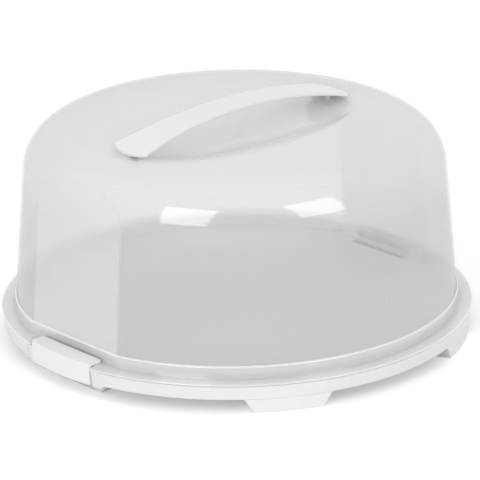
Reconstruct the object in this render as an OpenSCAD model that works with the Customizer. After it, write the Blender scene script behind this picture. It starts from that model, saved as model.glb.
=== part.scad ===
// Round cake carrier: a tray on six feet, a clear dome held by two flip latches, and a strap handle.
// Millimetres, +Z up. The origin is on the table, below the middle of the tray.
// The latches and the handle lie along X.

/* [Tray] */
// Outer diameter at the top of the skirt
tray_d = 354; // [330:1:380]
// Height of the feet below the skirt
foot_h = 10.6; // [6:0.1:16]
// Height of the skirt, up to the rim that the lid rests on
skirt_h = 10; // [8:0.5:16]
// How far the skirt leans in from its top to its lower edge
skirt_lean = 1.2; // [0:0.1:3]
// Wall of the tray, its skirt and its feet
tray_wall = 2.4; // [1.8:0.1:3.2]
// Height of the upstand that locates the lid, above the rim
upstand_h = 8; // [5:0.5:12]
// Wall of the upstand
upstand_wall = 2.2; // [1.6:0.1:3]
// Number of radial ribs below the floor
rib_count = 12; // [6:6:12]
// Thickness of the ribs
rib_wall = 1.8; // [1.2:0.1:2.6]
// Depth of the ribs below the floor
rib_depth = 5.5; // [3:0.5:7]

/* [Feet] */
// Width of a foot where it leaves the skirt
foot_top_w = 65; // [50:1:75]
// Width of a foot on the table
foot_low_w = 51; // [36:1:60]
// Depth of a foot, towards the middle
foot_depth = 16; // [12:0.5:24]
// How far the feet stand back from the skirt
foot_inset = 0.4; // [0.2:0.1:2]
// Width on the table of the two feet below the latches
latch_foot_w = 64.8; // [50:0.2:76]

/* [Latches] */
// Width of a latch
latch_w = 64.8; // [50:0.2:76]
// Thickness of the latch's curved front
latch_wall = 2.4; // [2:0.1:3]
// Thickness of the lip that hooks over the flange
lip_t = 2.4; // [1.8:0.1:3.2]
// Gap between the lip's straight edge and the flat of the lid
lip_gap = 1.6; // [1:0.1:3]
// How far the latch reaches below the lower edge of the skirt
latch_drop = 1.6; // [0:0.1:3]
// Radius of the hinge rod
rod_r = 1.6; // [1.4:0.1:1.8]
// Radial clearance of the rod in its ears
rod_clearance = 0.06; // [0.02:0.01:0.1]
// Wall around the rod
knuckle_wall = 1.2; // [1:0.1:1.4]
// Thickness of each hinge ear
ear_t = 4; // [3:0.5:6]
// Distance between the middles of the two ears
ear_pitch = 30; // [20:1:40]
// Opening that the rod snaps in through
snap_mouth = 2.6; // [2:0.1:3]
// Width of the niche in the skirt
niche_w = 90; // [80:1:100]
// Depth of the niche, from the top edge of the skirt
niche_depth = 14.5; // [13:0.5:16]
// Length of the window in the floor behind each niche
window_l = 56; // [40:1:60]
// Depth of that window
window_d = 8; // [4:0.5:9]

/* [Lid] */
// Wall of the dome
lid_wall = 1.8; // [1.2:0.1:2.4]
// Thickness of the flange
flange_t = 2; // [1.6:0.1:2.6]
// How far the flange stands out past the skirt's top edge
flange_over = 0.5; // [0:0.1:2]
// Width of the flange, from its edge to the band
flange_w = 10.4; // [9:0.1:12]
// Height of the band above the flange
band_h = 8.9; // [6:0.1:14]
// Step from the band in to the wall
band_step = 0.8; // [0.4:0.1:1.2]
// Height of the drafted wall, up to the middle of the shoulder
wall_h = 95.5; // [70:0.5:130]
// Draft of the wall, in degrees
draft = 4.8; // [2:0.1:7]
// Radius of the shoulder
shoulder_r = 33.7; // [20:0.1:44]
// Radius of the gentle crown on top
crown_r = 4000; // [3000:100:6000]
// Depth of the two flats, measured at the band
flat_depth = 7.1; // [5:0.1:8]
// Seating gap between the lid and the tray
seat_gap = 0.1; // [0.05:0.05:0.3]

/* [Finger dish] */
// Length of the dish past each end of the strap
dish_margin = 17; // [12:0.5:19]
// Width of the dish
dish_w = 108; // [80:1:120]
// Depth of the dish
dish_depth = 14; // [10:0.5:20]

/* [Handle] */
// Distance between the corners at the two ends of the strap
strap_l = 202; // [190:1:206]
// Width of the strap at its middle
strap_mid_w = 29; // [24:0.5:36]
// Width of the strap at its ends
strap_end_w = 37.5; // [30:0.5:44]
// Thickness of the strap
strap_t = 2.6; // [2:0.1:4]
// How far the ends bulge past their corners
end_bulge = 5; // [2:0.5:8]
// Rise of the strap's middle above its ends
strap_rise = 12.9; // [8:0.1:20]
// Height of the strap's middle above the crown of the lid
strap_over = 13.6; // [10:0.1:20]
// Distance from the strap's corners to the middle of each lug
lug_inset = 11; // [8:0.5:20]
// Length of a lug's neck along the strap
neck_l = 6; // [4:0.5:8]
// Width of a lug's neck across the strap
neck_w = 14; // [10:0.5:18]
// Width of the shoulder around the neck
lug_shoulder = 3; // [2:0.5:4]
// How far each hook reaches past the neck
hook_reach = 2; // [1.5:0.1:3]
// Thickness of the hooks
hook_t = 2; // [1.5:0.1:3]
// Clearance around the neck in its slot
neck_clearance = 0.5; // [0.3:0.1:1]
// How far the handle lifts before its hooks stop it
handle_play = 3; // [1:0.5:5]

/* [Hidden] */
$fn = 96;
fine = 180;
// How far pieces of one solid run into each other, and the running gap between curved faces of two solids
embed = 1;
run_gap = 0.3;
// How far cutters reach past what they cut, and a length greater than any part of the carrier
over = 10;
big = 400;

// Tray levels and radii
tray_r = tray_d / 2;
rim_z = foot_h + skirt_h;
skirt_low_r = tray_r - skirt_lean;
floor_z = rim_z;
floor_low_z = floor_z - tray_wall;
upstand_gap = 1.2;
upstand_flat_gap = 0.7;
upstand_end_gap = 3;
upstand_r = tray_r + flange_over - flange_w - lid_wall - upstand_gap;
upstand_z = rim_z + upstand_h;
foot_shape_z = foot_h + 2 * embed;
foot_shape_w = foot_low_w + (foot_top_w - foot_low_w) * foot_shape_z / foot_h;
niche_x = tray_r - niche_depth;
latch_foot_x = niche_x - foot_depth - tray_wall;
window_x = latch_foot_x + tray_wall + embed;
rib_ring_r = 20;

// Lid levels and radii
flange_r = tray_r + flange_over;
flange_z = rim_z + seat_gap;
flange_top_z = flange_z + flange_t;
band_r = flange_r - flange_w;
band_top_z = flange_top_z + band_h;
wall_r = band_r - band_step;
shoulder_z = band_top_z + wall_h;
shoulder_x = wall_r - wall_h * tan(draft) - shoulder_r / cos(draft);
crown_z = shoulder_z - sqrt(pow(crown_r - shoulder_r, 2) - pow(shoulder_x, 2));
lid_top_z = crown_z + crown_r;
flat_x = band_r - flat_depth;
flat_wall_x = flat_x - band_step;
flat_span = 2 * sqrt(pow(band_r, 2) - pow(flat_x, 2));
upstand_flat_x = flat_x - lid_wall - upstand_flat_gap;

// Finger dish: an arc turned about a line above the lid, so that it is shallow and oval
dish_edge_drop = 1;
dish_rim_z = lid_top_z - dish_edge_drop;
dish_l = strap_l + 2 * dish_margin;
dish_turn_r = (pow(dish_w / 2, 2) + pow(dish_depth, 2)) / (2 * dish_depth);
dish_arc_r = (pow(dish_l / 2, 2) + pow(dish_depth, 2)) / (2 * dish_depth);
dish_axis_z = dish_rim_z - dish_depth + dish_turn_r;
function dish_z(x, y) =
    dish_axis_z - sqrt(pow(dish_turn_r - dish_arc_r + sqrt(pow(dish_arc_r, 2) - x * x), 2) - y * y);

// Latch
latch_inset = 1.1;
knuckle_gap = 1.3;
notch_gap = 1;
latch_r = tray_r - latch_inset;
latch_in_r = latch_r - latch_wall;
latch_low_z = foot_h - latch_drop;
lip_x = flat_x + lip_gap;
lip_z = flange_top_z + run_gap;
latch_top_z = lip_z + lip_t;
knuckle_r = rod_r + knuckle_wall;
rod_x = latch_in_r - knuckle_r - knuckle_gap;
rod_z = latch_low_z + knuckle_r;
notch_r = rod_x - run_gap;
notch_w = latch_w + 2 * notch_gap;
knuckle_t = 3;
knuckle_y = ear_pitch / 2 + ear_t / 2 + run_gap + knuckle_t / 2;

// Handle
strap_top_z = lid_top_z + strap_over;
strap_tip_x = strap_l / 2 + end_bulge;
arch_r = (pow(strap_l / 2, 2) + pow(strap_rise, 2)) / (2 * strap_rise);
arch_z = strap_top_z - arch_r;
side_sag = (strap_end_w - strap_mid_w) / 2;
side_r = (pow(strap_l / 2, 2) + pow(side_sag, 2)) / (2 * side_sag);
end_r = (pow(strap_end_w / 2, 2) + pow(end_bulge, 2)) / (2 * end_bulge);
lug_x = strap_l / 2 - lug_inset;
lug_out_x = lug_x + neck_l / 2 + lug_shoulder / 2;
lug_seat_z = dish_z(lug_out_x, neck_w / 2 + lug_shoulder) + run_gap;
hook_top_z = dish_z(lug_x - neck_l / 2, 0) - lid_wall - 2 * run_gap - handle_play;

// A foot's outline across its width, carried up as straight sides, carried out along X from x0 to x1
module foot_block(low_w, top_w, shape_h, full_h, x0, x1) {
    translate([x0, 0, 0])
        rotate([90, 0, 90])
            linear_extrude(height = x1 - x0)
                polygon([
                    [-low_w / 2, 0], [low_w / 2, 0], [top_w / 2, shape_h],
                    [top_w / 2, full_h], [-top_w / 2, full_h], [-top_w / 2, shape_h]
                ]);
}

// Turned body of the tray: floor, rim, upstand and skirt
module tray_turned() {
    rotate_extrude($fn = fine)
        polygon([
            [0, floor_low_z], [0, floor_z],
            [upstand_r - upstand_wall, floor_z], [upstand_r - upstand_wall, upstand_z],
            [upstand_r, upstand_z], [upstand_r, rim_z],
            [tray_r, rim_z], [skirt_low_r, foot_h],
            [skirt_low_r - tray_wall, foot_h], [tray_r - tray_wall - skirt_lean / 2, floor_low_z]
        ]);
}

// A ring between two radii, from below the table up to a height
module ring(out_r, in_r, low_z, top_z) {
    translate([0, 0, low_z])
        difference() {
            cylinder(r = out_r, h = top_z - low_z, $fn = fine);
            translate([0, 0, -over])
                cylinder(r = in_r, h = top_z - low_z + 2 * over, $fn = fine);
        }
}

// One of the four hollow feet below the skirt, on the +X side
module skirt_foot() {
    out_r = skirt_low_r - foot_inset;
    in_r = out_r - foot_depth;
    difference() {
        intersection() {
            ring(out_r, in_r, 0, floor_low_z + embed);
            foot_block(foot_low_w, foot_shape_w, foot_shape_z, floor_low_z + embed, in_r - over, tray_r);
        }
        intersection() {
            ring(out_r - tray_wall, in_r + tray_wall, -embed, floor_low_z);
            translate([0, 0, -embed])
                foot_block(foot_low_w - 2 * tray_wall, foot_shape_w - 2 * tray_wall, foot_shape_z + embed,
                           floor_low_z + embed, in_r - over, tray_r);
        }
    }
}

// Foot and back wall below one latch, and the side walls of its niche, on the +X side
module niche_foot() {
    difference() {
        foot_block(latch_foot_w, niche_w, foot_h, floor_low_z + embed, latch_foot_x, niche_x);
        translate([0, 0, -embed])
            foot_block(latch_foot_w - 2 * tray_wall, niche_w - 2 * tray_wall, foot_h + embed,
                       floor_low_z + embed, latch_foot_x + tray_wall, niche_x - tray_wall);
    }
    intersection() {
        for (side = [-1, 1])
            translate([niche_x - tray_wall, side > 0 ? niche_w / 2 - embed : -niche_w / 2 - tray_wall, foot_h])
                cube([tray_r, tray_wall + embed, floor_low_z - foot_h + embed]);
        cylinder(r = skirt_low_r - tray_wall / 2, h = rim_z, $fn = fine);
    }
}

// Two open ears that the latch's rod snaps into from below
module hinge_ears() {
    for (side = [-1, 1])
        translate([0, side * ear_pitch / 2 + ear_t / 2, 0])
            rotate([90, 0, 0])
                linear_extrude(height = ear_t)
                    difference() {
                        union() {
                            translate([rod_x, rod_z])
                                circle(r = knuckle_r);
                            translate([niche_x - embed, rod_z - embed])
                                square([rod_x - niche_x + embed, knuckle_r + embed]);
                        }
                        translate([rod_x, rod_z])
                            circle(r = rod_r + rod_clearance);
                        translate([rod_x - snap_mouth / 2, rod_z - knuckle_r - embed])
                            square([snap_mouth, knuckle_r + embed]);
                    }
}

// Upstand beside the flat of the lid, with a gap at the window
module flat_upstand() {
    reach = flat_span / 2 - upstand_end_gap - embed;
    for (side = [-1, 1])
        translate([upstand_flat_x - upstand_wall, side > 0 ? window_l / 2 : -reach, floor_z - embed])
            cube([upstand_wall, reach - window_l / 2, upstand_h + embed]);
}

// Ribs below the floor: radial ones between the feet and two rings
module floor_ribs() {
    rib_z = floor_low_z - rib_depth;
    for (k = [0 : rib_count - 1])
        rotate(360 / rib_count * (k + 0.5))
            translate([rib_ring_r, -rib_wall / 2, rib_z])
                cube([latch_foot_x - rib_ring_r, rib_wall, rib_depth + embed]);
    for (r = [rib_ring_r, tray_r / 2])
        ring(r + rib_wall / 2, r - rib_wall / 2, rib_z, floor_low_z + embed);
}

module base_tray() {
    color([0.95, 0.95, 0.94]) {
        difference() {
            union() {
                tray_turned();
                floor_ribs();
                for (k = [1, 2, 4, 5])
                    rotate(60 * k)
                        skirt_foot();
                for (turn = [0, 180])
                    rotate(turn)
                        niche_foot();
            }
            for (turn = [0, 180])
                rotate(turn) {
                    translate([niche_x, -niche_w / 2, -over])
                        cube([tray_r, niche_w, rim_z + 2 * over]);
                    translate([upstand_flat_x - upstand_wall - embed, -flat_span / 2 - upstand_end_gap, floor_z])
                        cube([tray_r, flat_span + 2 * upstand_end_gap, upstand_h + over]);
                    translate([window_x, -window_l / 2, floor_low_z - embed])
                        cube([window_d, window_l, tray_wall + 2 * embed]);
                }
        }
        for (turn = [0, 180])
            rotate(turn) {
                hinge_ears();
                flat_upstand();
            }
    }
}

// Half outline of the dome's wall, shoulder and crown, drawn in by a wall thickness
module dome_outline(inset) {
    low_r = wall_r - inset / cos(draft);
    top_x = shoulder_x + (shoulder_r - inset) * shoulder_x / (crown_r - shoulder_r);
    top_z = shoulder_z + (shoulder_r - inset) * (shoulder_z - crown_z) / (crown_r - shoulder_r);
    polygon([
        [0, flange_top_z], [low_r + (band_top_z - flange_top_z) * tan(draft), flange_top_z],
        [shoulder_x + (shoulder_r - inset) * cos(draft), shoulder_z + (shoulder_r - inset) * sin(draft)],
        [shoulder_x, shoulder_z], [top_x, top_z], [0, top_z]
    ]);
    translate([shoulder_x, shoulder_z])
        circle(r = shoulder_r - inset, $fn = 144);
    intersection() {
        translate([0, crown_z])
            circle(r = crown_r - inset, $fn = 1800);
        translate([0, top_z - over])
            square([top_x, 2 * over]);
    }
}

// Solid form of the dome with its band and flats, drawn in by a wall thickness
module dome_form(inset) {
    difference() {
        rotate_extrude($fn = fine)
            dome_outline(inset);
        for (side = [-1, 1])
            translate([side * (flat_wall_x - inset / cos(draft)), 0, band_top_z])
                rotate([0, -side * draft, 0])
                    translate([side > 0 ? 0 : -tray_r, -tray_r, -big / 2])
                        cube([tray_r, 2 * tray_r, big]);
    }
    low_z = inset > 0 ? flange_z - embed : flange_top_z - embed;
    difference() {
        translate([0, 0, low_z])
            cylinder(r = band_r - inset, h = band_top_z - inset - low_z, $fn = fine);
        for (side = [-1, 1])
            translate([side > 0 ? flat_x - inset : -flat_x + inset - tray_r, -tray_r, 0])
                cube([tray_r, 2 * tray_r, band_top_z + over]);
    }
}

// Oval scoop for the fingers, grown by a wall thickness for the inside of the lid
module finger_scoop(grow) {
    translate([0, 0, dish_axis_z])
        rotate([0, 90, 0])
            rotate_extrude($fn = fine)
                intersection() {
                    translate([dish_turn_r - dish_arc_r, 0])
                        circle(r = dish_arc_r + grow, $fn = 720);
                    translate([0, -big / 2])
                        square([big / 2, big]);
                }
}

// Notch in the flange for a latch, on the +X side
module flange_notch() {
    translate([0, 0, flange_z - embed])
        linear_extrude(height = flange_t + 2 * embed)
            difference() {
                translate([notch_r - over, -notch_w / 2])
                    square([4 * over, notch_w]);
                circle(r = notch_r, $fn = fine);
            }
}

module lid_dome() {
    slot_l = neck_l + 2 * neck_clearance;
    slot_w = neck_w + 2 * neck_clearance;
    color([0.90, 0.91, 0.92, 0.4])
        difference() {
            union() {
                dome_form(0);
                translate([0, 0, flange_z])
                    cylinder(r = flange_r, h = flange_t, $fn = fine);
            }
            difference() {
                dome_form(lid_wall);
                finger_scoop(lid_wall);
            }
            finger_scoop(0);
            for (turn = [0, 180])
                rotate(turn) {
                    flange_notch();
                    translate([lug_x - slot_l / 2, -slot_w / 2, dish_rim_z - dish_depth - over])
                        cube([slot_l, slot_w, dish_depth + 2 * over]);
                }
        }
}

// Arched sheet that the strap is cut from
module strap_arch() {
    keep_h = strap_rise + 3 * end_bulge;
    translate([0, strap_end_w / 2, arch_z])
        rotate([90, 0, 0])
            linear_extrude(height = strap_end_w)
                difference() {
                    circle(r = arch_r, $fn = 720);
                    circle(r = arch_r - strap_t, $fn = 720);
                    translate([-arch_r - over, -arch_r - over])
                        square([2 * arch_r + 2 * over, 2 * arch_r + over - keep_h]);
                }
}

// Strap: the arched sheet with bulged ends and hollow sides
module strap() {
    low_z = dish_rim_z - dish_depth;
    cut_h = strap_top_z - low_z + over;
    difference() {
        intersection() {
            strap_arch();
            union() {
                translate([-strap_l / 2 + end_bulge, -strap_end_w, low_z])
                    cube([strap_l - 2 * end_bulge, 2 * strap_end_w, cut_h]);
                for (side = [-1, 1])
                    translate([side * (strap_tip_x - end_r), 0, low_z])
                        cylinder(r = end_r, h = cut_h);
            }
        }
        for (side = [-1, 1])
            translate([0, side * (strap_mid_w / 2 + side_r), low_z - over])
                cylinder(r = side_r, h = cut_h + 2 * over, $fn = 1440);
    }
}

// Lug below one end of the strap: a shoulder that seats on the dish, a neck and two hooks
module handle_lug() {
    shoulder_l = neck_l + lug_shoulder;
    shoulder_w = neck_w + 2 * lug_shoulder;
    under_z = arch_z + sqrt(pow(arch_r - strap_t / 2, 2) - pow(lug_out_x, 2));
    translate([lug_x - shoulder_l / 2, -shoulder_w / 2, lug_seat_z])
        cube([shoulder_l, shoulder_w, under_z - lug_seat_z]);
    translate([lug_x - neck_l / 2, -neck_w / 2, hook_top_z - hook_t])
        cube([neck_l, neck_w, lug_seat_z - hook_top_z + hook_t + embed]);
    translate([lug_x - neck_l / 2, 0, hook_top_z - hook_t])
        rotate([90, 0, 90])
            linear_extrude(height = neck_l)
                polygon([
                    [-neck_w / 2 - hook_reach, hook_t], [-neck_w / 2 - hook_reach, hook_t / 2],
                    [-neck_w / 2, 0], [neck_w / 2, 0],
                    [neck_w / 2 + hook_reach, hook_t / 2], [neck_w / 2 + hook_reach, hook_t]
                ]);
}

module carry_handle() {
    color([0.93, 0.93, 0.92]) {
        strap();
        for (turn = [0, 180])
            rotate(turn)
                handle_lug();
    }
}

// One latch, on the +X side: curved front, lip, knuckles and rod
module latch() {
    intersection() {
        translate([0, 0, latch_low_z])
                difference() {
                    cylinder(r = latch_r, h = latch_top_z - latch_low_z, $fn = fine);
                    translate([0, 0, -over])
                        cylinder(r = latch_in_r, h = lip_z - latch_low_z + over, $fn = fine);
                }
        translate([lip_x, -latch_w / 2, 0])
            cube([tray_r, latch_w, latch_top_z + over]);
    }
    intersection() {
        for (side = [-1, 1])
            translate([0, side * knuckle_y + knuckle_t / 2, 0])
                rotate([90, 0, 0])
                    linear_extrude(height = knuckle_t) {
                        translate([rod_x, rod_z])
                            circle(r = knuckle_r);
                        translate([rod_x, latch_low_z])
                            square([latch_r - rod_x, 2 * knuckle_r]);
                    }
        cylinder(r = latch_in_r + latch_wall / 2, h = latch_top_z, $fn = fine);
    }
    translate([rod_x, knuckle_y + knuckle_t / 2, rod_z])
        rotate([90, 0, 0])
            cylinder(r = rod_r, h = 2 * knuckle_y + knuckle_t, $fn = 48);
}

module latch_front() {
    color([0.95, 0.95, 0.94])
        rotate(180)
            latch();
}

module latch_back() {
    color([0.95, 0.95, 0.94])
        latch();
}

base_tray();
lid_dome();
carry_handle();
latch_front();
latch_back();
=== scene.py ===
"""Round cake carrier: clear drafted dome, strap handle, footed tray and two flip latches."""
import math

import bmesh
import bpy
import numpy as np
from bpy.props import FloatProperty, FloatVectorProperty, PointerProperty
from mathutils import Matrix, Vector


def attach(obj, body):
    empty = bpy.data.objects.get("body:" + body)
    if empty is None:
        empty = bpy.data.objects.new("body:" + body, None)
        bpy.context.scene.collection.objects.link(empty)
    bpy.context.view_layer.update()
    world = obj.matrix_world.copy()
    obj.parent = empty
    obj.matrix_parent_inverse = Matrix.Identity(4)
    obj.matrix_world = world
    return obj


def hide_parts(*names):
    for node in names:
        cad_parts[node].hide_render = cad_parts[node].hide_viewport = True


bl_info = {
    "name": "Cake Carrier",
    "version": (1, 0, 0),
    "blender": (4, 5, 0),
    "location": "View3D > Sidebar > Carrier",
    "description": "Builds the looks of a round cake carrier around its packed frame",
    "category": "Object",
}

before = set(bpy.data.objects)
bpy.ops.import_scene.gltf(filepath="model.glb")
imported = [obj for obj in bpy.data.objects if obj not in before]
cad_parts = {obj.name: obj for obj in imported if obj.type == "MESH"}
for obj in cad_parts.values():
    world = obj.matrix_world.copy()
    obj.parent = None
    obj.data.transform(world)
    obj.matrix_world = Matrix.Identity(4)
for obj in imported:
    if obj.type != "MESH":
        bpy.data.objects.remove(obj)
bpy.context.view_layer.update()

# Angles of the dome's columns in degrees, fine about the flats' edges and the latch notches
FINE_START, FINE_END, FINE_STEP = 10.0, 19.0, 0.25
COLUMN_STEP = 1.0
# Rows of each skin inside the dish's rim, from there to the shoulder, and round the shoulder
OUTER_ROWS, INNER_ROWS = (34, 17, 26), (20, 11, 16)
# Shares of the way down the wall at which its rows stand, close together at the foot
WALL_SHARES = (0.16, 0.33, 0.5, 0.66, 0.82, 0.93, 0.985, 0.996, 1.0)
# Share of the rim's radius at which the first row stands, next to the pole
FIRST_SHARE = 0.05
# Radius at which the search for the dish's rim starts, and its steps
RIM_SEARCH_START, RIM_SEARCH_STEPS = 0.03, 40
# Distance from rim to shoulder at which the rim is fully soft, its least share, its ease out,
# and a length that keeps the root smooth where the softness ends
SOFT_REACH, LEAST_SOFT, SOFT_EASE, TINY = 0.04, 0.25, 1.5, 1e-5
# Softness of a flat's edge on the wall and over the shoulder, and how fast its look fades in
CREASE_SOFTNESS, FLAT_TOP_SOFTNESS, CREASE_FADE = 0.0005, 0.0022, 0.0006
FLAT_TOP_BELOW, FLAT_TOP_ABOVE = 0.01, 0.02
# Least cosine of a column's angle, so that a flat's plane never runs off sideways
LEAST_COSINE = 0.05
# Roundings of the lid's foot: the band's ledge and top edge, the groove, the flange's edges
BAND_LEDGE, BAND_EDGE, GROOVE = 0.00025, 0.00035, 0.0006
FLANGE_SHOULDER, FLANGE_UPPER_EDGE, FLANGE_LOWER_EDGE, NOTCH_EDGE = 0.0055, 0.0007, 0.0005, 0.0012
# Rows, brightness and extra cover down the foot after the painted highlight: the band's face,
# the groove, the flange, its edge, and the underside with the inner side. The brightness is
# painted light and shade: lighter on the face, painted shade in the groove, lighter on the
# flange, a painted highlight on its edge, and lighter on the underside and inner side
FOOT_LOOK = ((3, 1.12, 0.28), (4, 0.85, 0.40), (2, 1.46, 0.15), (4, 1.45, 0.30), (7, 1.35, 0.10))
# Rows of the painted highlight along the band's edge on the foot, its extra cover, and its rows on
# the wall
RIM_ROWS, RIM_CLOUD, WALL_RIM_ROWS = 3, 0.5, 2
# Where the painted shadow on the band above a latch starts and ends to fade, and its extra cover
SHADOW_START, SHADOW_END, SHADOW_CLOUD = 0.006, 0.048, 0.35
# Heights between which the painted light (and, for the top and the flats, the extra cover) of the
# top, the wall's foot and the flats changes
TOP_LOOK, LOW_LOOK, FLAT_LOOK = (0.100, 0.152), (0.034, 0.070), (0.095, 0.145)
# Distances from a socket's middle between which its cover fades
SOCKET_LOOK = (0.005, 0.013)
# Rows and columns of the strap, and points round each post
STRAP_ROWS, STRAP_COLUMNS, POST_POINTS = 121, 21, 40
# Height above the hook's underside and the two half sizes of each level of a post's hook
HOOK_LEVELS = ((0.0, 0.0020, 0.0034), (0.0003, 0.0026, 0.0040), (0.0017, 0.0026, 0.0040),
               (0.0020, 0.0022, 0.0024))
# Height above the ground and the two half sizes of each level of a post's neck
NECK_LEVELS = ((0.1580, 0.0022, 0.0024), (0.1600, 0.0026, 0.0030), (0.1622, 0.0034, 0.0040))
# Half the length of the cheeks' step, and the gap left below the skirt's upper edge
CHEEK_SLOPE, CHEEK_GAP = 0.0004, 0.0001
# Edges sharper than this stay crisp, and a bevel rounds them
SHARP_ANGLE = math.radians(35)
# Points nearer than this become one
MERGE_DISTANCE = 1e-6
# Index of refraction of the moulded plastic
PLASTIC_INDEX = 1.48
# Distance over which the tray's painted shade ends
FLOOR_FADE = 0.0008
# The photo camera: the azimuth at which it was fitted, its target there, its focal length and
# picture width in pixels, and its sensor width
FIT_AZIMUTH = math.radians(-40.98)
FIT_TARGET = Vector((0.003345, -0.000883, 0.06618))
FOCAL_PIXELS, PICTURE_PIXELS, SENSOR = 3350.2, 480, 36.0
FLOOR_HALF_SIZE, FLOOR_WHITE = 12.0, 0.85
# Place, target and size of each softbox
LEFT_SOFTBOX = (-1.819, -0.726, 0.991), (-0.12, -0.09, 0.14), (0.95, 1.45)
RIGHT_SOFTBOX = (0.128, -1.85, 1.169), (-0.05, -0.14, 0.145), (0.92, 1.23)


def length(name, description, default, low=0.0, high=1.0):
    """A size in metres for the panel."""
    return FloatProperty(name=name, description=description, default=default,
                         min=low, max=high, unit="LENGTH", precision=5)


def colour(name, description, default):
    """A colour for the panel."""
    return FloatVectorProperty(name=name, description=description, default=default,
                               size=3, min=0.0, max=1.0, subtype="COLOR")


def amount(name, description, default, low=0.0, high=1.0):
    """A plain factor for the panel."""
    return FloatProperty(name=name, description=description, default=default, min=low, max=high)


class DomeSettings(bpy.types.PropertyGroup):
    """Sizes and look of the clear lid."""

    flange_radius: length("Flange radius", "Outer radius of the flange", 0.1775)
    flange_low: length("Flange underside", "Height of the flange's underside", 0.0207)
    flange_thickness: length("Flange thickness", "Thickness of the flange", 0.002)
    band_radius: length("Band radius", "Radius of the upright band above the flange", 0.1671)
    band_top: length("Band top", "Height of the top of the band", 0.0316)
    band_step: length("Band step", "Step from the band in to the wall", 0.0008)
    draft: FloatProperty(name="Draft", description="Lean of the wall", subtype="ANGLE",
                         default=math.radians(4.8))
    shoulder_height: length("Shoulder height", "Height of the shoulder's centre", 0.1271)
    shoulder_radius: length("Shoulder radius", "Radius of the rounded shoulder", 0.0337)
    crown_radius: length("Crown radius", "Radius of the gentle crown", 4.0, 0.5, 10.0)
    flat_distance: length("Flat distance", "Distance from the middle to a flat, at the band", 0.160)
    notch_radius: length("Notch radius", "Radius left to the flange behind a latch", 0.1691)
    notch_half_width: length("Notch half width", "Half width of a latch's notch", 0.0334)
    wall: length("Wall", "Thickness of the dome's wall", 0.0018)
    dish_length: length("Dish length", "Length of the finger dish", 0.236)
    dish_width: length("Dish width", "Width of the finger dish", 0.108)
    dish_depth: length("Dish depth", "Depth of the finger dish", 0.014)
    dish_drop: length("Dish drop", "Drop from the crown to the dish's rim plane", 0.001)
    dish_softness: length("Dish softness", "Softness of the dish's rim", 0.0065)
    tint: colour("Tint", "Colour of the milky clear plastic", (0.67, 0.67, 0.67))
    gloss_index: amount("Gloss index", "Index that sets the gloss of the thin skin", 3.0, 1.0, 4.0)
    cover: amount("Cover", "Share of light that one skin of the plastic stops", 0.21)
    edge_cover: amount("Edge cover", "Extra cover of a skin that is seen edge on", 0.45)
    edge_blend: amount("Edge blend", "Reach of the edge cover", 0.35)
    flat_cloud: amount("Flat cloud", "Extra cover of the two flats", 0.22)
    # Painted light: the flats, the top and the foot of the wall are brightened in the colour
    flat_painted_light: amount("Flat shade", "Brightness of the two flats", 1.07, 0.0, 2.0)
    crown_painted_light: amount("Crown shade", "Brightness of the top", 1.20, 0.0, 2.0)
    low_painted_light: amount("Low glow", "Extra brightness of the foot of the wall", 0.05)
    crown_cloud: amount("Crown cloud", "Extra cover of the top", 0.10)
    socket_distance: length("Socket distance", "Distance from the middle to a post's socket", 0.097)
    socket_cloud: amount("Socket cloud", "Extra cover about a post's socket", 0.30)
    inner_matt: amount("Inner matt", "Extra roughness of the inner skin", 0.80)
    # Painted highlight along the band's edge, and painted shadow on the band above each latch
    rim_highlight: amount("Rim shade", "Brightness of the line on the band's edge", 1.30, 0.0, 2.0)
    shadow_shade: amount("Shadow shade", "Brightness of the band above a latch", 0.55, 0.0, 2.0)


class HandleSettings(bpy.types.PropertyGroup):
    """Sizes and look of the strap handle."""

    corner_length: length("Corner length", "Distance between the strap's end corners", 0.202)
    bulge: length("End bulge", "How far the ends bulge past their corners", 0.005)
    middle_width: length("Middle width", "Width of the strap at its middle", 0.0258)
    end_width: length("End width", "Width of the strap at its ends", 0.0365)
    flare: amount("Flare", "Power that keeps the flare near the ends", 3.0, 1.0, 6.0)
    rise: length("Rise", "Rise of the middle above the ends", 0.0129)
    top: length("Top", "Height of the top of the strap", 0.17635)
    thickness: length("Thickness", "Thickness of the strap", 0.0024)
    edge: length("Edge", "Rounding of the strap's edges", 0.0005)
    post_distance: length("Post distance", "Distance from the middle to each post", 0.097)
    post_low: length("Post foot", "Height of the underside of each post's hook", 0.1500)
    tint: colour("Colour", "Colour of the strap", (0.80, 0.80, 0.80))


class LatchSettings(bpy.types.PropertyGroup):
    """Sizes and look of the flip latches."""

    edge: length("Edge", "Rounding of the latches' edges", 0.0004)
    tint: colour("Colour", "Colour of the latches", (0.82, 0.82, 0.82))


class TraySettings(bpy.types.PropertyGroup):
    """Niche cheeks and look of the tray."""

    edge: length("Edge", "Rounding of the tray's edges", 0.0006)
    skirt_low: length("Skirt foot", "Height of the skirt's lower edge", 0.0106)
    skirt_high: length("Skirt top", "Height of the skirt's upper edge", 0.0206)
    skirt_low_radius: length("Skirt foot radius", "Radius of the skirt's lower edge", 0.1758)
    skirt_high_radius: length("Skirt top radius", "Radius of the skirt's upper edge", 0.177)
    cheek_wall: length("Cheek wall", "Thickness of the niche cheeks", 0.002)
    cheek_start: length("Cheek start", "Distance from a latch's middle to the cheeks", 0.0330)
    cheek_step: length("Cheek step", "Distance from a latch's middle to the cheeks' step", 0.0405)
    cheek_end: length("Cheek end", "Distance from a latch's middle to the cheeks' far ends", 0.0456)
    cheek_recess: length("Cheek recess", "Depth of the step in the cheeks", 0.0016)
    cheek_low: length("Cheek foot", "Height of the cheeks' lower edge next to a latch", 0.0072)
    tint: colour("Colour", "Colour of the tray", (0.78, 0.78, 0.78))
    # Painted shade: within the floor radius the tray's colour is darkened, as on the floor inside
    # the lid
    floor_radius: length("Floor radius", "Radius within which the floor shade holds", 0.1642)
    floor_painted_shade: amount("Floor shade", "Brightness of the floor inside the lid", 0.90, 0.0, 2.0)


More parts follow.
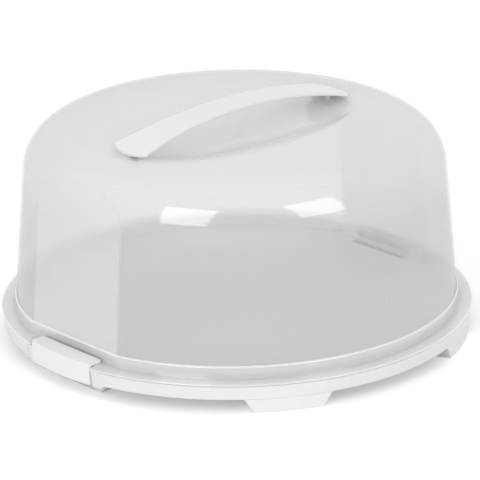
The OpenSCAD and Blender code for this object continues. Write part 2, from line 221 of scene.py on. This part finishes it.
class StageSettings(bpy.types.PropertyGroup):
    """Camera, floor and light."""

    azimuth: FloatProperty(name="Azimuth", description="Where the camera stands round the carrier",
                           subtype="ANGLE", default=math.radians(-42.0))
    elevation: FloatProperty(name="Elevation", description="Height of the camera above the horizon",
                             subtype="ANGLE", default=math.radians(20.19))
    roll: FloatProperty(name="Roll", description="Tilt of the camera about its own axis",
                        subtype="ANGLE", default=math.radians(-0.953))
    distance: length("Distance", "Distance from the camera to its target", 2.5208, 0.1, 10.0)
    world_level: amount("World level", "Brightness of the light from all round", 0.775, 0.0, 4.0)
    left_level: amount("Left softbox", "Brightness of the left softbox", 3.1, 0.0, 20.0)
    right_level: amount("Right softbox", "Brightness of the right softbox", 2.1, 0.0, 20.0)
    floor_glow: amount("Floor glow", "Share of white added to the floor for the camera", 0.30)


GROUPS = {"carrier_dome": DomeSettings, "carrier_handle": HandleSettings,
          "carrier_latch": LatchSettings, "carrier_tray": TraySettings,
          "carrier_stage": StageSettings}
# The operators in their order, each with its group of settings
STEPS = {"stage": "carrier_stage", "tray": "carrier_tray", "dome": "carrier_dome",
         "handle": "carrier_handle", "latches": "carrier_latch"}


def smooth_min(a, b, soft):
    """Lesser of a and b, rounded where they meet: half their sum less half the root of
    their squared difference plus the squared softness."""
    return 0.5 * (a + b - np.sqrt((a - b) ** 2 + soft ** 2))


def ramp(value, start, end):
    """0 up to start, 1 from end on, and between them three squares less two cubes."""
    t = np.clip((value - start) / (end - start), 0, 1)
    return t * t * (3 - 2 * t)


def put_mesh(name, points, faces):
    """Makes an object from a point array and a list of face index arrays."""
    mesh = bpy.data.meshes.new(name)
    mesh.from_pydata(points.reshape(-1, 3).tolist(), [], [f.tolist() for f in faces])
    mesh.validate()
    mesh.polygons.foreach_set("use_smooth", np.ones(len(mesh.polygons), bool))
    obj = bpy.data.objects.new(name, mesh)
    bpy.context.scene.collection.objects.link(obj)
    return obj


def grid_quads(rows, columns, close_columns, start=0):
    """Quads between neighbouring rows and columns of a grid numbered row by row."""
    r = np.arange(rows - 1)[:, None]
    c = np.arange(columns if close_columns else columns - 1)[None, :]
    n = (c + 1) % columns
    quads = np.stack(np.broadcast_arrays(r * columns + c, r * columns + n,
                                         (r + 1) * columns + n, (r + 1) * columns + c), -1)
    return quads.reshape(-1, 4) + start


def corner(centre, radius, start, end, count=4):
    """Points of an arc about a centre from a start to an end angle in degrees."""
    a = np.radians(np.linspace(start, end, count))
    return [(centre[0] + radius * math.cos(t), centre[1] + radius * math.sin(t)) for t in a]


def dome_columns():
    """Angles of the dome's columns round its axis, in radians."""
    half = np.concatenate([np.arange(0, FINE_START, COLUMN_STEP),
                           np.arange(FINE_START, FINE_END, FINE_STEP)])
    coarse = np.arange(FINE_END, 180 - FINE_END + COLUMN_STEP / 2, COLUMN_STEP)
    turn = np.concatenate([half, coarse, 180 - half[:0:-1]])
    return np.radians(np.concatenate([turn, turn + 180]))


def dome_skin(s, angles, inset):
    """One skin of the dome from the middle of the top to the foot of the wall, drawn in by
    inset. The crown is a large sphere, the dish an arc turned about a level line above it,
    and the height is the rounded lesser of the two. The shoulder is an arc about a circle,
    the wall a cone, and the flats are leaning planes: the radius at each height is the
    rounded lesser of the turned radius and the plane's distance over the angle's cosine."""
    tan_d, cos_d = math.tan(s.draft), math.cos(s.draft)
    wall_r = s.band_radius - s.band_step
    foot_r = wall_r - inset / cos_d
    centre_x = wall_r - (s.shoulder_height - s.band_top) * tan_d - s.shoulder_radius / cos_d
    reach = s.crown_radius - s.shoulder_radius
    crown_z = s.shoulder_height - math.sqrt(reach ** 2 - centre_x ** 2)
    top_z = crown_z + s.crown_radius
    rim_z = top_z - s.dish_drop
    turn_r = ((s.dish_width / 2) ** 2 + s.dish_depth ** 2) / (2 * s.dish_depth)
    arc_r = ((s.dish_length / 2) ** 2 + s.dish_depth ** 2) / (2 * s.dish_depth)
    axis_z = rim_z - s.dish_depth + turn_r

    def crown(r):
        """Height of the crown's sphere at a radius."""
        return crown_z + np.sqrt((s.crown_radius - inset) ** 2 - r ** 2)

    def dish(r):
        """Height of the dish's turned arc at a radius."""
        x, y = r * np.cos(angles), r * np.sin(angles)
        ring = turn_r - arc_r + np.sqrt(np.maximum((arc_r + inset) ** 2 - x ** 2, 0))
        return axis_z - np.sqrt(np.maximum(ring ** 2 - y ** 2, 0))

    # The rim is found by halving the span that holds it
    low, high = np.full(angles.shape, RIM_SEARCH_START), np.full(angles.shape, centre_x)
    for _ in range(RIM_SEARCH_STEPS):
        middle = (low + high) / 2
        inside = dish(middle) < crown(middle)
        low, high = np.where(inside, middle, low), np.where(inside, high, middle)
    outline = low

    dish_rows, crown_rows, shoulder_rows = INNER_ROWS if inset else OUTER_ROWS
    shares = np.linspace(FIRST_SHARE, 1.0, dish_rows)
    rows_r = [outline * t for t in shares]
    shoulder_top = centre_x * (1 + (s.shoulder_radius - inset) / reach)
    past = np.linspace(0.0, 1.0, crown_rows)[1:]
    rows_r += [outline + (shoulder_top - outline) * t for t in past]
    # The rim is softest where the shoulder is far, and the softness ends before the shoulder
    soft = s.dish_softness * np.clip((shoulder_top - outline) / SOFT_REACH, LEAST_SOFT, 1.0)
    ease = np.concatenate([np.ones(len(shares)), (1 - past) ** SOFT_EASE])
    rows_z = [smooth_min(crown(r), dish(r), soft * e + TINY) for r, e in zip(rows_r, ease)]
    flat = [0 * r for r in rows_r]

    steps = np.linspace(math.atan2(s.shoulder_height - crown_z, centre_x), s.draft,
                        shoulder_rows)[1:]
    turned = [(centre_x + (s.shoulder_radius - inset) * math.cos(a),
               s.shoulder_height + (s.shoulder_radius - inset) * math.sin(a)) for a in steps]
    foot_z = s.band_top - inset
    last = turned[-1]
    foot = (foot_r - (foot_z - s.band_top) * tan_d, foot_z)
    turned += [(last[0] + (foot[0] - last[0]) * t, last[1] + (foot[1] - last[1]) * t)
               for t in WALL_SHARES]
    for r, z in turned:
        plane = s.flat_distance - s.band_step - inset / cos_d - (z - s.band_top) * tan_d
        span = [s.shoulder_height - FLAT_TOP_BELOW, s.shoulder_height + FLAT_TOP_ABOVE]
        soft = np.interp(z, span, [CREASE_SOFTNESS, FLAT_TOP_SOFTNESS])
        flat_r = plane / np.maximum(np.abs(np.cos(angles)), LEAST_COSINE)
        rows_r.append(smooth_min(np.full(angles.shape, r), flat_r, soft))
        rows_z.append(np.full(angles.shape, z))
        flat.append(ramp(r - flat_r, 0.0, CREASE_FADE))
    middle_z = float(smooth_min(crown(0 * angles), dish(0 * angles), s.dish_softness)[0])
    return np.array(rows_r), np.array(rows_z), np.array(flat), middle_z


def dome_foot(s, angles):
    """Rows from the foot of the wall over the band and the flange to the inner side of the
    band. The band follows the flats, and the flange is round with a notch at each latch."""
    top = s.flange_low + s.flange_thickness
    r, w = s.band_radius, s.wall
    band = [(r - BAND_LEDGE, s.band_top)]
    band += corner((r - BAND_EDGE, s.band_top - BAND_EDGE), BAND_EDGE, 90, 0)[1:]
    band += [(r, (s.band_top + top) / 2), (r, top + GROOVE)]
    band += corner((r + GROOVE, top + GROOVE), GROOVE, 180, 270, 5)[1:]
    edge = [(s.flange_radius - FLANGE_SHOULDER, top)]
    edge += corner((s.flange_radius - FLANGE_UPPER_EDGE, top - FLANGE_UPPER_EDGE),
                   FLANGE_UPPER_EDGE, 90, 0, 5)
    edge += corner((s.flange_radius - FLANGE_LOWER_EDGE, s.flange_low + FLANGE_LOWER_EDGE),
                   FLANGE_LOWER_EDGE, 0, -90)
    inner = [(r - w, s.flange_low), (r - w, (s.flange_low + s.band_top) / 2),
             (r - w, s.band_top - w)]
    cosines = np.maximum(np.abs(np.cos(angles)), LEAST_COSINE)
    notch_angle = math.asin(s.notch_half_width / ((s.notch_radius + s.flange_radius) / 2))
    # Angle from each column to the middle of the nearer flat
    off = np.abs((np.abs(angles % math.pi) + math.pi / 2) % math.pi - math.pi / 2)

    def follow_flats(x):
        """A row of the band: a ring drawn in to the flats."""
        return smooth_min(np.full(angles.shape, x), (s.flat_distance + x - r) / cosines,
                          CREASE_SOFTNESS)

    def follow_notch(x):
        """A row of the flange: a ring cut back behind each latch."""
        cut = max(s.notch_radius - (s.flange_radius - x), s.notch_radius - NOTCH_EDGE)
        return np.where(off < notch_angle, cut, x)

    rows_r = [follow_flats(x) for x, _ in band] + [follow_notch(x) for x, _ in edge]
    rows_r += [follow_flats(x) for x, _ in inner]
    rows_z = [np.full(angles.shape, z) for _, z in (*band, *edge, *inner)]
    # Painted light and shade down the foot: a painted highlight on the band's edge, lighter face,
    # flange and underside, painted shade in the groove, and a painted shadow on the band's face and
    # groove above each latch that fades out to the sides
    counts = [RIM_ROWS, *(n for n, _, _ in FOOT_LOOK)]
    shade = np.repeat([s.rim_highlight, *(level for _, level, _ in FOOT_LOOK)], counts)
    cloud = np.repeat([RIM_CLOUD, *(extra for _, _, extra in FOOT_LOOK)], counts)
    middle = 1 - ramp(s.flat_distance * np.tan(np.minimum(off, 1.0)), SHADOW_START, SHADOW_END)
    face = np.zeros(len(shade))
    face[counts[0]:sum(counts[:3])] = 1.0
    shade = shade[:, None] * (1 - (1 - s.shadow_shade) * face[:, None] * middle)
    cloud = cloud[:, None] + SHADOW_CLOUD * face[:, None] * middle
    return np.array(rows_r), np.array(rows_z), shade, cloud


def skin_look(s, angles, r, z, flat):
    """Painted light and extra cover of one skin. The colour is brightened with painted light from
    its heights and its share of the flats; the cover grows from those and from its distance
    from the two sockets of the handle's posts."""
    socket = np.hypot(np.abs(r * np.cos(angles)) - s.socket_distance, r * np.sin(angles))
    socket = (1 - ramp(socket, *SOCKET_LOOK)) * (z > s.shoulder_height)
    top = ramp(z, *TOP_LOOK)
    low = 1 - ramp(z, *LOW_LOOK)
    flat = flat * (1 - ramp(z, *FLAT_LOOK))
    shade = 1 + (s.crown_painted_light - 1) * top + (s.flat_painted_light - 1) * flat + s.low_painted_light * low
    return shade, s.flat_cloud * flat + s.crown_cloud * top + s.socket_cloud * socket


def paint(obj, name, values):
    """Stores one number a point on a piece's mesh, for its material."""
    obj.data.attributes.new(name, "FLOAT", "POINT").data.foreach_set("value", values)


def dome_mesh(s):
    """Closed shell of the lid: outer skin, foot, and inner skin read backwards, each row a
    ring of radius and height over the columns' angles, with a point at both poles."""
    angles = dome_columns()
    out_r, out_z, out_flat, out_top = dome_skin(s, angles, 0.0)
    foot_r, foot_z, foot_shade, foot_cloud = dome_foot(s, angles)
    in_r, in_z, in_flat, in_top = dome_skin(s, angles, s.wall)
    out_shade, out_cloud = skin_look(s, angles, out_r, out_z, out_flat)
    in_shade, in_cloud = skin_look(s, angles, in_r, in_z, in_flat)
    # The last rows of the wall belong to the painted highlight along the band's edge
    out_shade[-WALL_RIM_ROWS:], out_cloud[-WALL_RIM_ROWS:] = s.rim_highlight, RIM_CLOUD
    r = np.concatenate([out_r, foot_r, in_r[::-1]])
    z = np.concatenate([out_z, foot_z, in_z[::-1]])
    points = np.stack([r * np.cos(angles), r * np.sin(angles), z], -1).reshape(-1, 3)
    rows, columns = r.shape
    points = np.concatenate([points, [[0, 0, out_top], [0, 0, in_top]]])
    c = np.arange(columns)
    n = (c + 1) % columns
    first, last, low = rows * columns, rows * columns + 1, (rows - 1) * columns
    fans = [np.stack([c, n, np.full(columns, first)], -1),
            np.stack([low + n, low + c, np.full(columns, last)], -1)]
    dome = put_mesh("clear_dome", points, [*fans[0], *grid_quads(rows, columns, True), *fans[1]])
    # Painted light and shade, extra cover, and the inner skin's extra roughness, stored on the
    # points for the material
    looks = (("shade", [out_shade, foot_shade, in_shade[::-1]], [s.crown_painted_light] * 2),
             ("cloud", [out_cloud, foot_cloud, in_cloud[::-1]], [s.crown_cloud] * 2),
             ("matt", [0 * out_shade, 0 * foot_shade, np.full(in_shade.shape, s.inner_matt)],
              [0.0, s.inner_matt]))
    for name, parts, poles in looks:
        paint(dome, name, np.concatenate([np.concatenate(parts).ravel(), poles]))
    return dome


def strap_mesh(s):
    """Strap with an upper and a lower sheet joined round the edge. Along the strap the height
    is an arc, the half width grows with a power of the distance, and each end bulges out."""
    half = s.corner_length / 2
    arch_r = (half ** 2 + s.rise ** 2) / (2 * s.rise)
    sag = (s.end_width - s.middle_width) / 2
    end_r = ((s.end_width / 2) ** 2 + s.bulge ** 2) / (2 * s.bulge)
    u, v = np.meshgrid(np.linspace(-1, 1, STRAP_ROWS), np.linspace(-1, 1, STRAP_COLUMNS),
                       indexing="ij")
    reach = half + s.bulge - end_r + np.sqrt(end_r ** 2 - (v * s.end_width / 2) ** 2)
    x = u * reach
    y = v * (s.middle_width / 2 + sag * np.minimum(np.abs(x) / half, 1) ** s.flare)
    sheets = [np.stack([x, y, s.top - arch_r + np.sqrt((arch_r - d) ** 2 - x ** 2)], -1)
              for d in (0.0, s.thickness)]
    rows, columns = x.shape
    count = rows * columns
    index = np.arange(count).reshape(rows, columns)
    rim = np.concatenate([index[0, :-1], index[:-1, -1], index[-1, :0:-1], index[:0:-1, 0]])
    after = np.roll(rim, -1)
    side = np.stack([after, after + count, rim + count, rim], -1)
    upper = grid_quads(rows, columns, False)
    lower = grid_quads(rows, columns, False, count)[:, ::-1]
    return put_mesh("strap", np.concatenate([g.reshape(-1, 3) for g in sheets]),
                    [*upper, *lower, *side])


def swept(name, points):
    """Closed piece from a row of sections, each a closed loop of points, capped at both ends."""
    rows, columns = points.shape[:2]
    caps = [np.arange(columns)[::-1], np.arange(columns) + (rows - 1) * columns]
    return fix_normals(put_mesh(name, points, [*grid_quads(rows, columns, True), *caps]))


def post_mesh(s, name, side):
    """Post under one end of the strap, through the lid to a hook. Each level is a rounded
    rectangle: the cosine and the sine, each to the half power, times two half sizes."""
    angles = np.linspace(0, 2 * math.pi, POST_POINTS, endpoint=False)
    c, t = np.cos(angles), np.sin(angles)
    ring = np.stack([np.sign(c) * np.sqrt(np.abs(c)), np.sign(t) * np.sqrt(np.abs(t))])
    levels = np.array([*((s.post_low + z, x, y) for z, x, y in HOOK_LEVELS), *NECK_LEVELS])
    z, half_x, half_y = (levels[:, k:k + 1] for k in range(3))
    return swept(name, np.stack([side * s.post_distance + half_x * ring[0], half_y * ring[1],
                                 z + 0 * ring[:1]], -1))


def cheek_mesh(s, name, side, end):
    """Strip that carries the skirt into one end of a niche. Its section is the skirt's leaning
    wall and its back, radius by height. x is the root of the radius squared less y squared,
    and the radius steps in by the recess next to the latch."""
    y = np.array([s.cheek_start, (s.cheek_start + s.cheek_step) / 2, s.cheek_step - CHEEK_SLOPE,
                  s.cheek_step + CHEEK_SLOPE, (s.cheek_step + s.cheek_end) / 2, s.cheek_end])
    step = np.where(y < s.cheek_step, s.cheek_recess, 0.0)
    low = np.interp(y, [s.cheek_step, s.cheek_end], [s.cheek_low, s.skirt_low])[:, None]
    z = low + (s.skirt_high - CHEEK_GAP - low) * np.linspace(0, 1, 4)
    lean = (s.skirt_high_radius - s.skirt_low_radius) / (s.skirt_high - s.skirt_low)
    front = s.skirt_low_radius + (z - s.skirt_low) * lean - step[:, None]
    loop_r = np.concatenate([front, front[:, ::-1] - s.cheek_wall], 1)
    loop_z = np.concatenate([z, z[:, ::-1]], 1)
    x = np.sqrt(loop_r ** 2 - y[:, None] ** 2)
    return swept(name, np.stack([side * x, end * y[:, None] + 0 * x, loop_z], -1))


def fix_normals(obj):
    """Turns the faces of a closed mesh outwards and keeps its sharp edges crisp."""
    work = bmesh.new()
    work.from_mesh(obj.data)
    bmesh.ops.remove_doubles(work, verts=work.verts, dist=MERGE_DISTANCE)
    bmesh.ops.recalc_face_normals(work, faces=work.faces)
    work.to_mesh(obj.data)
    work.free()
    obj.data.set_sharp_from_angle(angle=SHARP_ANGLE)
    return obj


def round_edges(obj, width, segments=3):
    """Rounds the sharp edges of a piece with a bevel."""
    bevel = obj.modifiers.new("Rounded edges", "BEVEL")
    bevel.width = width
    bevel.segments = segments
    bevel.limit_method = "ANGLE"
    bevel.angle_limit = SHARP_ANGLE
    bevel.harden_normals = True
    return obj


def moulded_group():
    """Node group of moulded plastic: fine grain, faint flow marks and slight unevenness."""
    group = bpy.data.node_groups.new("Moulded Plastic", "ShaderNodeTree")
    face = group.interface
    for name, default in (("Grain Size", 0.0006), ("Grain Depth", 0.5), ("Roughness", 0.4),
                          ("Unevenness", 0.04)):
        face.new_socket(name, in_out="INPUT", socket_type="NodeSocketFloat").default_value = default
    face.new_socket("Tint", in_out="INPUT", socket_type="NodeSocketColor")
    face.new_socket("Color", in_out="OUTPUT", socket_type="NodeSocketColor")
    face.new_socket("Roughness", in_out="OUTPUT", socket_type="NodeSocketFloat")
    face.new_socket("Height", in_out="OUTPUT", socket_type="NodeSocketFloat")
    nodes, links = group.nodes, group.links
    entry, out = nodes.new("NodeGroupInput"), nodes.new("NodeGroupOutput")
    place = nodes.new("ShaderNodeTexCoord")
    inverse = math_node(nodes, links, "DIVIDE", 1.0, entry.outputs["Grain Size"])
    grain = nodes.new("ShaderNodeTexNoise")
    grain.inputs["Detail"].default_value = 3.0
    links.new(place.outputs["Object"], grain.inputs["Vector"])
    links.new(inverse, grain.inputs["Scale"])
    flow = nodes.new("ShaderNodeTexNoise")
    flow.inputs["Scale"].default_value = 22.0
    flow.inputs["Detail"].default_value = 4.0
    flow.inputs["Distortion"].default_value = 0.6
    links.new(place.outputs["Object"], flow.inputs["Vector"])
    fine = math_node(nodes, links, "MULTIPLY", grain.outputs["Fac"], entry.outputs["Grain Depth"])
    broad = math_node(nodes, links, "MULTIPLY", flow.outputs["Fac"], 0.6)
    links.new(math_node(nodes, links, "ADD", fine, broad), out.inputs["Height"])
    swing = math_node(nodes, links, "SUBTRACT", flow.outputs["Fac"], 0.5)
    shift = math_node(nodes, links, "MULTIPLY", swing, entry.outputs["Unevenness"])
    level = math_node(nodes, links, "ADD", entry.outputs["Roughness"], shift)
    links.new(level, out.inputs["Roughness"])
    shade = math_node(nodes, links, "ADD", math_node(nodes, links, "MULTIPLY", shift, 0.5), 1.0)
    mix = nodes.new("ShaderNodeVectorMath")
    mix.operation = "SCALE"
    links.new(entry.outputs["Tint"], mix.inputs[0])
    links.new(shade, mix.inputs["Scale"])
    links.new(mix.outputs["Vector"], out.inputs["Color"])
    return group


def math_node(nodes, links, operation, a, b):
    """A Math node with numbers or sockets in, and its output socket."""
    node = nodes.new("ShaderNodeMath")
    node.operation = operation
    for socket, value in zip(node.inputs, (a, b)):
        if isinstance(value, bpy.types.NodeSocket):
            links.new(value, socket)
        else:
            socket.default_value = value
    return node.outputs[0]


def plastic(name, tint, roughness, grain=0.0006, depth=0.5, bump=0.00002, bevel=0.0):
    """Moulded plastic: the shared group feeds colour, roughness and bump, and a bevel
    radius rounds the edges of a piece whose mesh has none."""
    material = bpy.data.materials.new(name)
    material.use_nodes = True
    nodes, links = material.node_tree.nodes, material.node_tree.links
    shader = nodes["Principled BSDF"]
    shader.inputs["IOR"].default_value = PLASTIC_INDEX
    group = nodes.new("ShaderNodeGroup")
    group.node_tree = bpy.data.node_groups.get("Moulded Plastic") or moulded_group()
    group.inputs["Grain Size"].default_value = grain
    group.inputs["Grain Depth"].default_value = depth
    group.inputs["Roughness"].default_value = roughness
    group.inputs["Tint"].default_value = (*tint, 1.0)
    links.new(group.outputs["Color"], shader.inputs["Base Color"])
    links.new(group.outputs["Roughness"], shader.inputs["Roughness"])
    relief = nodes.new("ShaderNodeBump")
    relief.inputs["Distance"].default_value = bump
    relief.inputs["Strength"].default_value = 1.0
    links.new(group.outputs["Height"], relief.inputs["Height"])
    if bevel:
        edge = nodes.new("ShaderNodeBevel")
        edge.samples = 6
        edge.inputs["Radius"].default_value = bevel
        links.new(edge.outputs["Normal"], relief.inputs["Normal"])
    links.new(relief.outputs["Normal"], shader.inputs["Normal"])
    return material


def clear_plastic(s):
    """Milky clear plastic: a thin gloss skin that stops a share of the light, more of it
    where the skin is seen edge on. Its colour is scaled by the painted light and shade
    stored on the mesh."""
    material = plastic("Milky Clear Plastic", s.tint, 0.10, grain=0.004, depth=0.05, bump=0.00001)
    nodes, links = material.node_tree.nodes, material.node_tree.links
    shader = nodes["Principled BSDF"]
    # The cover share weakens the gloss too, so the index is raised to bring it back
    shader.inputs["IOR"].default_value = s.gloss_index
    edge_on = nodes.new("ShaderNodeLayerWeight")
    edge_on.inputs["Blend"].default_value = s.edge_blend
    more = math_node(nodes, links, "MULTIPLY", edge_on.outputs["Facing"], s.edge_cover)
    cover = math_node(nodes, links, "ADD", more, s.cover)
    links.new(math_node(nodes, links, "ADD", cover, stored(nodes, "cloud")), shader.inputs["Alpha"])
    rough = shader.inputs["Roughness"]
    skin = rough.links[0].from_socket
    links.new(math_node(nodes, links, "ADD", skin, stored(nodes, "matt")), rough)
    # The stored shade paints light and shade into the colour
    shaded(material, stored(nodes, "shade"))
    return material


def stored(nodes, name):
    """The output of a number stored on the mesh."""
    node = nodes.new("ShaderNodeAttribute")
    node.attribute_name = name
    return node.outputs["Fac"]


def shaded(material, level):
    """Scales a plastic's colour by a socket's value, which paints light and shade into it."""
    nodes, links = material.node_tree.nodes, material.node_tree.links
    base = nodes["Principled BSDF"].inputs["Base Color"]
    scale = nodes.new("ShaderNodeVectorMath")
    scale.operation = "SCALE"
    links.new(base.links[0].from_socket, scale.inputs[0])
    links.new(level, scale.inputs["Scale"])
    links.new(scale.outputs["Vector"], base)


def tray_plastic(s):
    """Satin white plastic with painted shade inside the lid: the distance from the middle turns
    the painted shade on within the tray's ring."""
    material = plastic("Tray Plastic", s.tint, 0.42, bevel=s.edge)
    nodes, links = material.node_tree.nodes, material.node_tree.links
    place, level = nodes.new("ShaderNodeTexCoord"), nodes.new("ShaderNodeVectorMath")
    level.operation = "MULTIPLY"
    level.inputs[1].default_value = (1, 1, 0)
    links.new(place.outputs["Object"], level.inputs[0])
    reach = nodes.new("ShaderNodeVectorMath")
    reach.operation = "LENGTH"
    links.new(level.outputs["Vector"], reach.inputs[0])
    inside = nodes.new("ShaderNodeMapRange")
    for name, value in (("From Min", s.floor_radius), ("From Max", s.floor_radius + FLOOR_FADE),
                        ("To Min", s.floor_painted_shade), ("To Max", 1.0)):
        inside.inputs[name].default_value = value
    links.new(reach.outputs["Value"], inside.inputs["Value"])
    shaded(material, inside.outputs["Result"])
    return material


def dress(obj, material):
    """Gives a piece one material in all its slots."""
    if not obj.material_slots:
        obj.data.materials.append(material)
    for slot in obj.material_slots:
        slot.material = material


class CARRIER_OT_dome(bpy.types.Operator):
    """Builds the clear lid with its flats, band, flange and finger dish"""

    bl_idname = "carrier.dome"
    bl_label = "Clear dome"

    def execute(self, context):
        s = context.scene.carrier_dome
        dome = fix_normals(dome_mesh(s))
        dress(dome, clear_plastic(s))
        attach(dome, "lid")
        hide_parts("lid_dome")
        return {"FINISHED"}


class CARRIER_OT_handle(bpy.types.Operator):
    """Builds the strap handle and its two posts"""

    bl_idname = "carrier.handle"
    bl_label = "Strap handle"

    def execute(self, context):
        s = context.scene.carrier_handle
        strap = round_edges(fix_normals(strap_mesh(s)), s.edge)
        posts = [post_mesh(s, f"strap_post_{place}", side)
                 for place, side in (("left", -1), ("right", 1))]
        material = plastic("Handle Plastic", s.tint, 0.22, grain=0.002, depth=0.25, bump=0.00001)
        for piece in (strap, *posts):
            dress(piece, material)
            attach(piece, "handle")
        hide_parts("carry_handle")
        return {"FINISHED"}


class CARRIER_OT_latches(bpy.types.Operator):
    """Dresses the two flip latches"""

    bl_idname = "carrier.latches"
    bl_label = "Flip latches"

    def execute(self, context):
        s = context.scene.carrier_latch
        material = plastic("Latch Plastic", s.tint, 0.42, bevel=s.edge)
        for node in ("latch_front", "latch_back"):
            dress(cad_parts[node], material)
        return {"FINISHED"}


class CARRIER_OT_tray(bpy.types.Operator):
    """Dresses the tray and builds the cheeks of its two niches"""

    bl_idname = "carrier.tray"
    bl_label = "Footed tray"

    def execute(self, context):
        s = context.scene.carrier_tray
        material = tray_plastic(s)
        dress(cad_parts["base_tray"], material)
        for niche, side in (("front", -1), ("back", 1)):
            for place, end in (("left", -1), ("right", 1)):
                cheek = cheek_mesh(s, f"{niche}_niche_cheek_{place}", side, end)
                dress(cheek, material)
                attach(cheek, "tray")
        return {"FINISHED"}


def lamp(name, place, target, size, radiance):
    """A rectangular soft lamp of a given size and brightness, facing a target."""
    data = bpy.data.lights.new(name, "AREA")
    data.shape = "RECTANGLE"
    data.size, data.size_y = size
    data.energy = radiance * math.pi * size[0] * size[1]
    obj = bpy.data.objects.new(name, data)
    bpy.context.scene.collection.objects.link(obj)
    aim = (Vector(target) - Vector(place)).to_track_quat("-Z", "Y")
    obj.matrix_world = Matrix.Translation(Vector(place)) @ aim.to_matrix().to_4x4()
    return obj


def photo_camera(s):
    """Camera at the photograph's angle, on a line from its target, tilted about that line.
    The target turns about the upright axis with the azimuth."""
    target = Matrix.Rotation(s.azimuth - FIT_AZIMUTH, 3, "Z") @ FIT_TARGET
    az, el = s.azimuth, s.elevation
    back = Vector((math.sin(az) * math.cos(el), -math.cos(az) * math.cos(el), math.sin(el)))
    level = Vector((math.cos(az), math.sin(az), 0))
    up = back.cross(level)
    right = math.cos(s.roll) * level + math.sin(s.roll) * up
    top = -math.sin(s.roll) * level + math.cos(s.roll) * up
    data = bpy.data.cameras.new("Photo camera")
    data.sensor_width = SENSOR
    data.lens = FOCAL_PIXELS / PICTURE_PIXELS * SENSOR
    data.clip_start, data.clip_end = 0.05, 50.0
    camera = bpy.data.objects.new("Photo camera", data)
    bpy.context.scene.collection.objects.link(camera)
    turned = Matrix((right, top, back)).transposed().to_4x4()
    camera.matrix_world = Matrix.Translation(target + back * s.distance) @ turned
    bpy.context.scene.camera = camera


def pale_floor(s):
    """Flat pale floor that keeps the shadow, with a share of white for the rays that see it."""
    grid = np.linspace(-FLOOR_HALF_SIZE, FLOOR_HALF_SIZE, 3)
    x, y = np.meshgrid(grid, grid, indexing="ij")
    floor = put_mesh("floor", np.stack([x, y, 0 * x], -1), grid_quads(3, 3, False))
    # The grid's faces look down, so they are turned up
    floor.data.flip_normals()
    material = bpy.data.materials.new("Pale Floor")
    material.use_nodes = True
    nodes, links = material.node_tree.nodes, material.node_tree.links
    shader = nodes["Principled BSDF"]
    shader.inputs["Base Color"].default_value = (FLOOR_WHITE, FLOOR_WHITE, FLOOR_WHITE, 1)
    shader.inputs["Roughness"].default_value = 0.9
    shader.inputs["Specular IOR Level"].default_value = 0.0
    glow, add = nodes.new("ShaderNodeEmission"), nodes.new("ShaderNodeAddShader")
    links.new(math_node(nodes, links, "MULTIPLY", seen(nodes, links), s.floor_glow),
              glow.inputs["Strength"])
    links.new(shader.outputs[0], add.inputs[0])
    links.new(glow.outputs[0], add.inputs[1])
    links.new(add.outputs[0], nodes["Material Output"].inputs["Surface"])
    dress(floor, material)


def white_world(s):
    """Surroundings that are white where they are seen and softer as light on the carrier."""
    world = bpy.data.worlds.new("White studio")
    bpy.context.scene.world = world
    world.use_nodes = True
    nodes, links = world.node_tree.nodes, world.node_tree.links
    base = nodes["Background"]
    base.inputs["Color"].default_value = (1, 1, 1, 1)
    white = seen(nodes, links)
    unseen = math_node(nodes, links, "SUBTRACT", 1.0, white)
    light = math_node(nodes, links, "MULTIPLY", unseen, s.world_level)
    links.new(math_node(nodes, links, "ADD", light, white), base.inputs["Strength"])


class CARRIER_OT_stage(bpy.types.Operator):
    """Sets up the camera, the pale floor, the white surroundings and the lamps"""

    bl_idname = "carrier.stage"
    bl_label = "Stage"

    def execute(self, context):
        s = context.scene.carrier_stage
        context.scene.view_settings.view_transform = "Standard"
        photo_camera(s)
        pale_floor(s)
        white_world(s)
        lamp("Left softbox", *LEFT_SOFTBOX, s.left_level)
        lamp("Right softbox", *RIGHT_SOFTBOX, s.right_level)
        return {"FINISHED"}


def seen(nodes, links):
    """A mask that is 1 for camera, glossy and transmission rays."""
    path = nodes.new("ShaderNodeLightPath")
    both = math_node(nodes, links, "MAXIMUM", path.outputs["Is Camera Ray"],
                     path.outputs["Is Glossy Ray"])
    return math_node(nodes, links, "MAXIMUM", both, path.outputs["Is Transmission Ray"])


class CARRIER_PT_panel(bpy.types.Panel):
    """Sizes and colours of the carrier"""

    bl_label = "Cake Carrier"
    bl_idname = "CARRIER_PT_panel"
    bl_space_type = "VIEW_3D"
    bl_region_type = "UI"
    bl_category = "Carrier"

    def draw(self, context):
        for step, group in STEPS.items():
            box = self.layout.box()
            box.operator(f"carrier.{step}")
            settings = getattr(context.scene, group)
            for name in settings.__annotations__:
                box.prop(settings, name)


CLASSES = (*GROUPS.values(), CARRIER_OT_stage, CARRIER_OT_tray, CARRIER_OT_dome,
           CARRIER_OT_handle, CARRIER_OT_latches, CARRIER_PT_panel)


def register():
    """Registers the classes and hangs the settings on the scene."""
    for cls in CLASSES:
        bpy.utils.register_class(cls)
    for name, cls in GROUPS.items():
        setattr(bpy.types.Scene, name, PointerProperty(type=cls))


def unregister():
    """Takes the settings and the classes away again."""
    for name in GROUPS:
        delattr(bpy.types.Scene, name)
    for cls in reversed(CLASSES):
        bpy.utils.unregister_class(cls)


def main():
    """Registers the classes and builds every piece."""
    register()
    for step in STEPS:
        getattr(bpy.ops.carrier, step)()


if __name__ == "__main__":
    main()
